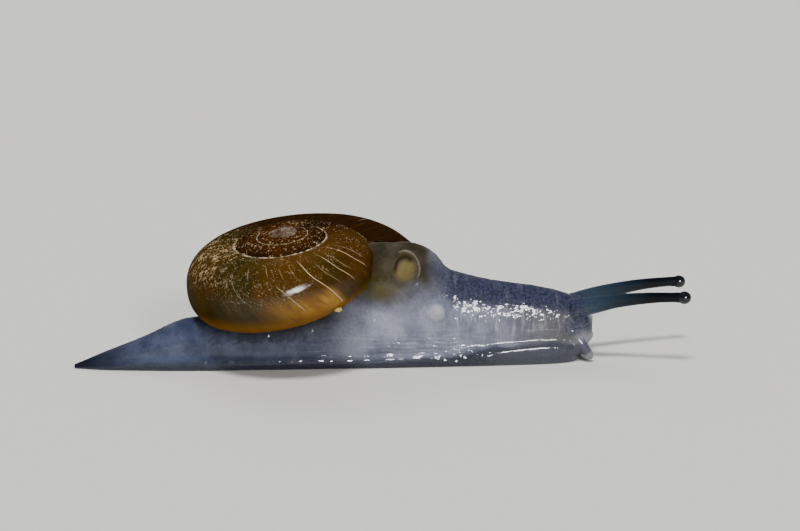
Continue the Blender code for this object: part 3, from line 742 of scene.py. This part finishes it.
def makeSkinMaterial():
    look = skinLook
    material, tree, shader = newMaterial("mucusWetSkin", skinFinish)
    spot = addNode(tree, "TexCoord").outputs["Object"]
    parts = addNode(tree, "SeparateXYZ", {0: spot})
    alongX, up = parts.outputs[0], parts.outputs[2]
    pattern = addPatterns(tree, spot, mm, skinPatterns)
    mask = {name: addNode(tree, "Attribute", {"attribute_name": name}).outputs["Fac"] for name in skinMasks}

    colour = layOver(tree, look["flank"], look["flankPale"], (pattern["cloud"], 0.30, 0.72))
    colour = layOver(tree, colour, look["flankFront"], (alongX, 4.6 * mm, 10.6 * mm))
    colour = layOver(tree, colour, look["fold"], (pattern["streaks"], 0.50, 0.68), mask["folds"], 0.55)
    colour = layOver(tree, colour, look["haze"], mask["haze"], 0.5)
    colour = layOver(tree, colour, look["sweep"], (pattern["sweeps"], 0.54, 0.68),
                     (up, 2.6 * mm, 1.4 * mm), 0.35)
    tail = layOver(tree, look["tail"], look["tailPale"], (pattern["cloud"], 0.38, 0.62))
    tail = layOver(tree, tail, look["tailTip"], (alongX, -13.0 * mm, -17.8 * mm))
    colour = layOver(tree, colour, tail, (alongX, -0.8 * mm, -6.5 * mm))
    # painted shade under the shell, a dark grey laid over the flank
    colour = layOver(tree, colour, look["under"], mask["under"], 0.75)
    colour = layOver(tree, colour, look["chin"], (alongX, 10.4 * mm, 11.4 * mm), (up, 2.2 * mm, 1.4 * mm))
    face = layOver(tree, look["face"], look["faceGrain"], (pattern["grain"], 0.36, 0.66))
    back = layOver(tree, look["back"], look["backGrain"], (pattern["grain"], 0.40, 0.62))
    back = layOver(tree, back, look["fold"], (pattern["streaks"], 0.56, 0.74), 0.10)
    edge = layOver(tree, look["edge"], look["edgeFront"], (alongX, 4.0 * mm, 7.5 * mm))
    mantle = layOver(tree, look["mantle"], look["mantleVein"], (pattern["cloud"], 0.40, 0.65))
    for name, cover in (("face", face), ("back", back), ("edge", edge), ("mantle", mantle)):
        colour = layOver(tree, colour, cover, mask[name])
    # the last of these, at the hole's upper back, is painted shadow
    for name in ("olive", "swelling", "holeRim", "hole", "holePaintedShadow"):
        colour = layOver(tree, colour, look[name], mask[name])
    for name, part, start, end in (("root", "stalk", 0.02, 0.22), ("stalkTip", "stalk", 0.18, 0.75),
                                   ("feeler", "feeler", 0.0, 0.6), ("feelerTip", "feeler", 0.93, 1.0)):
        colour = layOver(tree, colour, look[name], (mask[part], start, end))
    # painted shade: the mouth slit coloured darker than the skin round it
    colour = layOver(tree, colour, look["mouth"], mask["mouth"])
    mottled = addNode(tree, "Mix", {"data_type": "RGBA", "blend_type": "OVERLAY", 0: 0.35,
                                    6: colour, 7: pattern["grain"]})
    tree.links.new(mottled.outputs[2], shader.inputs["Base Color"])

    # fine relief in the skin, and over it a wet film that pools at the back and cobbles on the shoulder
    calm = overlap(tree, (mask["stalk"], 0.05, 0.3, 1.0, 0.2))
    bump = addNode(tree, "Bump", {"Distance": 0.06 * mm, "Height": pattern["relief"], "Strength": calm})
    tree.links.new(bump.outputs[0], shader.inputs["Normal"])
    pool = overlap(tree, pattern["film"], (alongX, 5.0 * mm, 6.2 * mm, 1.0, 0.25), 0.6)
    stony = addNode(tree, "Math", {"operation": "MULTIPLY_ADD", 0: mask["shoulder"], 1: 0.30, 2: 0.02})
    film = addNode(tree, "Math", {"operation": "MULTIPLY_ADD", 0: pattern["cobbles"],
                                  1: stony.outputs[0], 2: pool})
    wet = addNode(tree, "Bump", {"Distance": 0.09 * mm, "Height": film.outputs[0], "Strength": calm})
    tree.links.new(wet.outputs[0], shader.inputs["Coat Normal"])
    dry = anyOf(tree, [mask["dull"]], [mask["under"], 0.9], [(mask["stalk"], 0.05, 0.4, 0.0, 0.7)],
                [(pattern["gaps"], 0.53, 0.45), (mask["shoulder"], 0.05, 0.35)])
    tree.links.new(overlap(tree, (dry, 0.0, 1.0, 1.0, 0.0)), shader.inputs["Coat Weight"])
    return material


# horn shell: thin conchiolin-skinned calcite, amber and see-through, polished, dirty on the spire

hornLook = dict(
    # the two golden colours after bodyWarm on the next line are a painted glow; the first is also the amber
    # of the pale striae
    body="#2f2608", bodyWarm="#452c08", amberAndPaintedGlow="#6e4508", paintedGlowPale="#a07626", ember="#3f270b",
    spire="#1f1104", spireWarm="#3a1f06", far="#241405", rimLine="#6e4804", stain="#1a1006",
    # the pale grey after line on the next line is apex wear and a painted highlight in one
    dust="#c6b088", crust="#cdbb9c", line="#c4b08a", apexWearAndPaintedHighlight="#7f786c", belt="#503512",
    lean=-0.036, curl=0.0055,                # how the growth lines slant and curve across a whorl
)
hornFinish = {
    "IOR": 1.5, "Specular IOR Level": 0.0, "Coat Roughness": 0.10, "Coat IOR": 1.4,
    "Subsurface Weight": 0.25, "Subsurface Radius": (1.0, 0.45, 0.12), "Subsurface Scale": 0.8 * mm,
}
hornPatterns = dict(                         # kind, grains in a millimetre along x, y and z
    cloud=("TexNoise", (0.3, 0.3, 0.3), {"Detail": 3.0}),
    rough=("TexNoise", (1.5, 1.5, 1.5), {"Detail": 4.0, "Roughness": 0.7}),
    flakes=("TexNoise", (2.6, 2.6, 2.6), {"Detail": 5.0, "Roughness": 0.8}),
    crumbs=("TexNoise", (5.2, 5.2, 5.2), {"Detail": 3.0, "Roughness": 0.7}),
    coarseDust=("TexVoronoi", (3.6, 3.6, 3.6), {}),
    fineDust=("TexVoronoi", (7.8, 7.8, 7.8), {}),
)
growthPatterns = dict(                       # kind, grains in a turn and across a whorl
    striae=("TexNoise", (150.0, 0.9, 1.0), {"Detail": 4.0, "Roughness": 0.65}),
    broad=("TexNoise", (16.0, 0.8, 1.0), {"Detail": 3.0}),
    paintedGlintStreaks=("TexNoise", (420.0, 9.0, 1.0), {"Detail": 4.0, "Roughness": 0.7}),
    broken=("TexNoise", (3.0, 9.0, 1.0), {"Detail": 2.0}),
)
restLines = (                                # turns back from the lip, from and to across the whorl, strength
    (0.690, 0.9, 2.2, 0.55), (0.735, 0.3, 1.1, 0.20), (0.762, 0.25, 2.45, 1.00), (0.791, 0.5, 1.6, 0.30),
    (0.820, 0.20, 1.75, 0.80), (0.838, 0.3, 1.3, 0.35), (0.872, 0.10, 1.60, 0.95), (0.893, 0.2, 1.2, 0.40),
    (0.645, 0.35, 0.85, 0.45), (0.685, 0.30, 0.80, 0.40), (0.712, 0.40, 0.95, 0.25),
    (0.610, 0.6, 1.6, 0.25), (0.430, 0.3, 1.8, 0.45), (0.310, 0.3, 2.1, 0.40), (0.170, 0.3, 2.0, 0.50),
    (0.085, 0.2, 2.3, 0.45),
)


def makeHornMaterial():
    look = hornLook
    material, tree, shader = newMaterial("polishedAmberHorn", hornFinish)
    spot = addNode(tree, "TexCoord").outputs["Object"]
    up = addNode(tree, "SeparateXYZ", {0: spot}).outputs[2]
    whorl = addNode(tree, "SeparateXYZ", {0: addNode(tree, "UVMap", {"uv_map": "whorl"}).outputs["UV"]})
    turn, across = whorl.outputs[0], whorl.outputs[1]
    growth = turn                            # turns back along the slanting, curved growth lines
    for power, share in ((1, look["lean"]), (2, look["curl"])):
        bent = addNode(tree, "Math", {"operation": "POWER", 0: across, 1: power}).outputs[0]
        growth = addNode(tree, "Math", {"operation": "MULTIPLY_ADD", 0: bent, 1: share, 2: growth}).outputs[0]
    lay = addNode(tree, "CombineXYZ", {0: growth, 1: across}).outputs[0]
    grain = addPatterns(tree, spot, mm, hornPatterns)
    growing = addPatterns(tree, lay, 1.0, growthPatterns)

    colour = layOver(tree, look["body"], look["bodyWarm"], (grain["cloud"], 0.38, 0.66))
    colour = layOver(tree, colour, look["ember"], (turn, 0.80, 0.93), (across, 1.7, 0.7))
    colour = layOver(tree, colour, look["belt"], (across, 0.75, 0.25), (turn, 0.62, 0.74),
                     (turn, 0.96, 0.86), 0.8)
    # painted light: a golden glow laid low on the last whorl beside the highlight, lamp light shining back
    # out of the amber
    amberAndPaintedGlow = layOver(tree, look["amberAndPaintedGlow"], look["paintedGlowPale"], (growing["broad"], 0.40, 0.68))
    colour = layOver(tree, colour, amberAndPaintedGlow, (across, 1.35, 1.85), (turn, 0.65, 0.78), (growth, 0.778, 0.758))
    colour = layOver(tree, colour, look["rimLine"], (across, 2.0, 2.7), 0.8)
    colour = layOver(tree, colour, look["far"], (turn, 0.46, 0.30), (across, 1.8, 0.9))
    colour = layOver(tree, colour, look["stain"], (growing["striae"], 0.52, 0.72), 0.55)
    colour = layOver(tree, colour, look["amberAndPaintedGlow"], (growing["striae"], 0.44, 0.30), 0.35)
    spire = layOver(tree, look["spire"], look["spireWarm"], (grain["cloud"], 0.40, 0.62))
    colour = layOver(tree, spire, colour, (turn, 1.09, 0.97))
    # painted highlight: short pale glints along the growth lines around the shell's highlight
    colour = layOver(tree, colour, look["line"], (growing["paintedGlintStreaks"], 0.58, 0.66), (turn, 0.58, 0.64),
                     (turn, 0.80, 0.74), (across, 0.7, 1.1), (across, 1.9, 1.5), 0.6)
    for at, begin, end, strength in restLines:
        away = addNode(tree, "Math", {"operation": "SUBTRACT", 0: growth, 1: at}).outputs[0]
        away = addNode(tree, "Math", {"operation": "ABSOLUTE", 0: away}).outputs[0]
        colour = layOver(tree, colour, look["line"], (away, 0.0013, 0.0003), (across, begin, begin + 0.2),
                         (across, end, end - 0.3), (growing["broken"], 0.30, 0.48, 0.3, 1.0),
                         (turn, 1.002, 0.998), strength)

    # dried dust on the spire and the old side of the whorl, thick crumbs in the sutures
    sutures = anyOf(tree, [(across, 0.034, 0.012), (turn, 0.42, 0.50)],
                    [(across, 0.965, 0.99), (turn, 0.998, 1.002)])
    crust = overlap(tree, sutures, (grain["crumbs"], 0.40, 0.55), (turn, 2.7, 2.4),
                    (grain["rough"], 0.36, 0.50, 0.35, 1.0))
    dusty = anyOf(tree, [(turn, 0.97, 1.03), 0.75], [(across, 1.5, 0.5), (turn, 0.40, 0.52), 0.4],
                  [(turn, 0.70, 0.56), (turn, 0.30, 0.42), (across, 1.7, 0.6)])
    grains = anyOf(tree, [(grain["coarseDust"], 0.26, 0.20)], [(grain["fineDust"], 0.30, 0.24)])
    dust = anyOf(tree, [grains, dusty, (grain["rough"], 0.40, 0.62)],
                 [(grain["flakes"], 0.53, 0.60), (turn, 0.68, 0.58), (turn, 0.34, 0.46), (across, 1.35, 0.7),
                  (grain["cloud"], 0.38, 0.56), 0.75])
    colour = layOver(tree, colour, look["dust"], dust, 0.85)
    # pale patch on the apex: partly worn shell skin, partly a painted highlight
    colour = layOver(tree, colour, look["apexWearAndPaintedHighlight"], (turn, 2.9, 3.5), (grain["rough"], 0.36, 0.58), 0.4)
    colour = layOver(tree, colour, look["crust"], crust)
    tree.links.new(colour, shader.inputs["Base Color"])

    deposit = anyOf(tree, [dust], [crust])
    relief = addNode(tree, "Math", {"operation": "MULTIPLY_ADD", 0: growing["striae"], 1: 0.5,
                                    2: overlap(tree, deposit, 0.8)})
    bump = addNode(tree, "Bump", {"Strength": 0.6, "Distance": 0.04 * mm, "Height": relief.outputs[0]})
    tree.links.new(bump.outputs[0], shader.inputs["Normal"])
    tree.links.new(bump.outputs[0], shader.inputs["Coat Normal"])
    dry = anyOf(tree, [(deposit, 0.0, 0.6, 0.34, 0.8)], [(up, 5.2 * mm, 6.8 * mm, 0.34, 0.62)])
    tree.links.new(dry, shader.inputs["Roughness"])
    polish = anyOf(tree, [(turn, 0.56, 0.68, 0.05, 0.85)], [(turn, 0.42, 0.32, 0.0, 0.35)])
    polish = overlap(tree, polish, (across, 2.6, 1.7, 0.3, 1.0), (up, 5.2 * mm, 6.8 * mm, 1.0, 0.12),
                     (turn, 0.80, 0.88, 1.0, 0.35))
    tree.links.new(polish, shader.inputs["Coat Weight"])
    return material


# mucus drop: thick yellow slime, cloudy inside and smooth outside

dropFinish = {
    "Base Color": "#c4ad5a", "Roughness": 0.25, "Coat Weight": 0.8, "Coat Roughness": 0.05,
    "Subsurface Weight": 0.4, "Subsurface Scale": 0.2 * mm,
}


# eye bulb: smooth pigmented skin over the retina, black with a wet point of light

eyeFinish = {"Roughness": 0.3, "Specular IOR Level": 0.15, "Coat Weight": 0.6, "Coat Roughness": 0.04}
eyePatterns = dict(cloud=("TexNoise", (3.0, 3.0, 3.0), {"Detail": 2.0}))


def makeEyeMaterial():
    material, tree, shader = newMaterial("wetBlackEyeBulb", eyeFinish)
    spot = addNode(tree, "TexCoord").outputs["Object"]
    cloud = addPatterns(tree, spot, mm, eyePatterns)["cloud"]
    tree.links.new(layOver(tree, "#06070a", "#14161f", (cloud, 0.3, 0.8)), shader.inputs["Base Color"])
    return material


# studio: pale floor, soft light, camera at the photo's angle

studio = dict(
    floor="#e3e2dd", world="#e6e9ee", worldStrength=0.18,
    target=(1.1, 0.0, 5.66), yaw=4.0, elevation=12.0, roll=0.35,
    distance=128.0, pixelsPerMm=17.3, imageWidth=800.0, sensor=36.0, nearest=0.005, farthest=10.0,
    floorSize=3.0, lampDistance=0.3,         # metres, as nearest and farthest
)
lamps = (                                    # name; turn, height, softness in degrees; power; lights, shines
    ("key", -22.0, 24.0, 12.0, 1.6, True, False),
    ("top", 10.0, 66.0, 14.0, 2.7, True, False),
    ("fill", 165.0, 38.0, 40.0, 1.0, True, False),
    ("softbox", -18.0, 16.5, 18.0, 4.8, False, True),
)


def aim(thing, direction, roll=0.0):
    turn = direction.to_track_quat("-Z", "Y").to_euler()
    thing.rotation_euler = turn
    if roll:
        thing.rotation_euler.rotate_axis("Z", roll)


def makeCamera():
    s = studio
    yaw, rise = math.radians(s["yaw"]), math.radians(s["elevation"])
    look = Vector((math.sin(yaw) * math.cos(rise), math.cos(yaw) * math.cos(rise), -math.sin(rise)))
    data = bpy.data.cameras.new("camera")
    data.sensor_width = s["sensor"]
    data.lens = s["sensor"] * s["pixelsPerMm"] * s["distance"] / s["imageWidth"]
    data.clip_start, data.clip_end = s["nearest"], s["farthest"]
    camera = bpy.data.objects.new("camera", data)
    bpy.context.collection.objects.link(camera)
    camera.location = place(Vector(s["target"]) - look * s["distance"])
    aim(camera, look, math.radians(-s["roll"]))
    bpy.context.scene.camera = camera


def makeLamp(name, turned, height, softness, power, lights, shines):   # lights skin, shows in the gloss
    data = bpy.data.lights.new(name, "SUN")
    data.angle = math.radians(softness)
    data.energy = power
    lamp = bpy.data.objects.new(name, data)
    lamp.visible_diffuse = lights
    lamp.visible_glossy = shines
    bpy.context.collection.objects.link(lamp)
    around, up = math.radians(studio["yaw"] + turned), math.radians(height)
    shine = Vector((math.sin(around) * math.cos(up), math.cos(around) * math.cos(up), -math.sin(up)))
    lamp.location = -shine * studio["lampDistance"]
    aim(lamp, shine)


def makeStudio():
    s = studio
    bpy.ops.object.select_all(action="DESELECT")
    bpy.ops.mesh.primitive_plane_add(size=s["floorSize"], location=(0, 0, 0))
    floor = bpy.context.object
    floor.name = "studioFloor"
    matt = {"Base Color": s["floor"], "Roughness": 0.9, "Specular IOR Level": 0.15}
    floor.data.materials.append(newMaterial("paleMattFloor", matt)[0])
    world = bpy.data.worlds.new("studioAir")
    world.use_nodes = True
    world.node_tree.nodes["Background"].inputs[0].default_value = hexColour(s["world"])
    world.node_tree.nodes["Background"].inputs[1].default_value = s["worldStrength"]
    bpy.context.scene.world = world
    for lamp in lamps:
        makeLamp(*lamp)


shell = makeShell()
shell.data.materials.append(makeHornMaterial())
skinMaterial = makeSkinMaterial()
shell.data.materials.append(skinMaterial)
drop = makeBulb("drop", rimDrop["centre"], rimDrop["radii"], 24, 16)
bpy.ops.object.shade_smooth()
drop.data.materials.append(newMaterial("yellowMucusDrop", dropFinish)[0])
selectOnly(shell, drop)
bpy.ops.object.join()
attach(shell, "root")
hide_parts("shell")
print("shell:", len(shell.data.polygons), "faces")

skin = sculptSkin(makeFleshForm())
skin.data.materials.append(skinMaterial)
selectOnly(skin)
bpy.ops.object.shade_smooth()
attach(skin, "root")
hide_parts("tail", "foot_middle", "foot_front", "flank", "mantle_collar", "neck", "head",
            "upper_tentacle_left", "upper_tentacle_right", "lower_tentacle_left", "lower_tentacle_right")
print("skin:", len(skin.data.polygons), "faces")

eyeMaterial = makeEyeMaterial()
for sideName, side in (("left", 1), ("right", -1)):
    eye = makeBulb("eyeBulb_" + sideName, posed(eyeBulb["centre"], side), eyeBulb["radii"], 48, 32)
    bpy.ops.object.shade_smooth()
    eye.data.materials.append(eyeMaterial)
    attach(eye, "root")
    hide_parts("eye_" + sideName)
print("eyes done")

makeStudio()
makeCamera()
print("studio done")
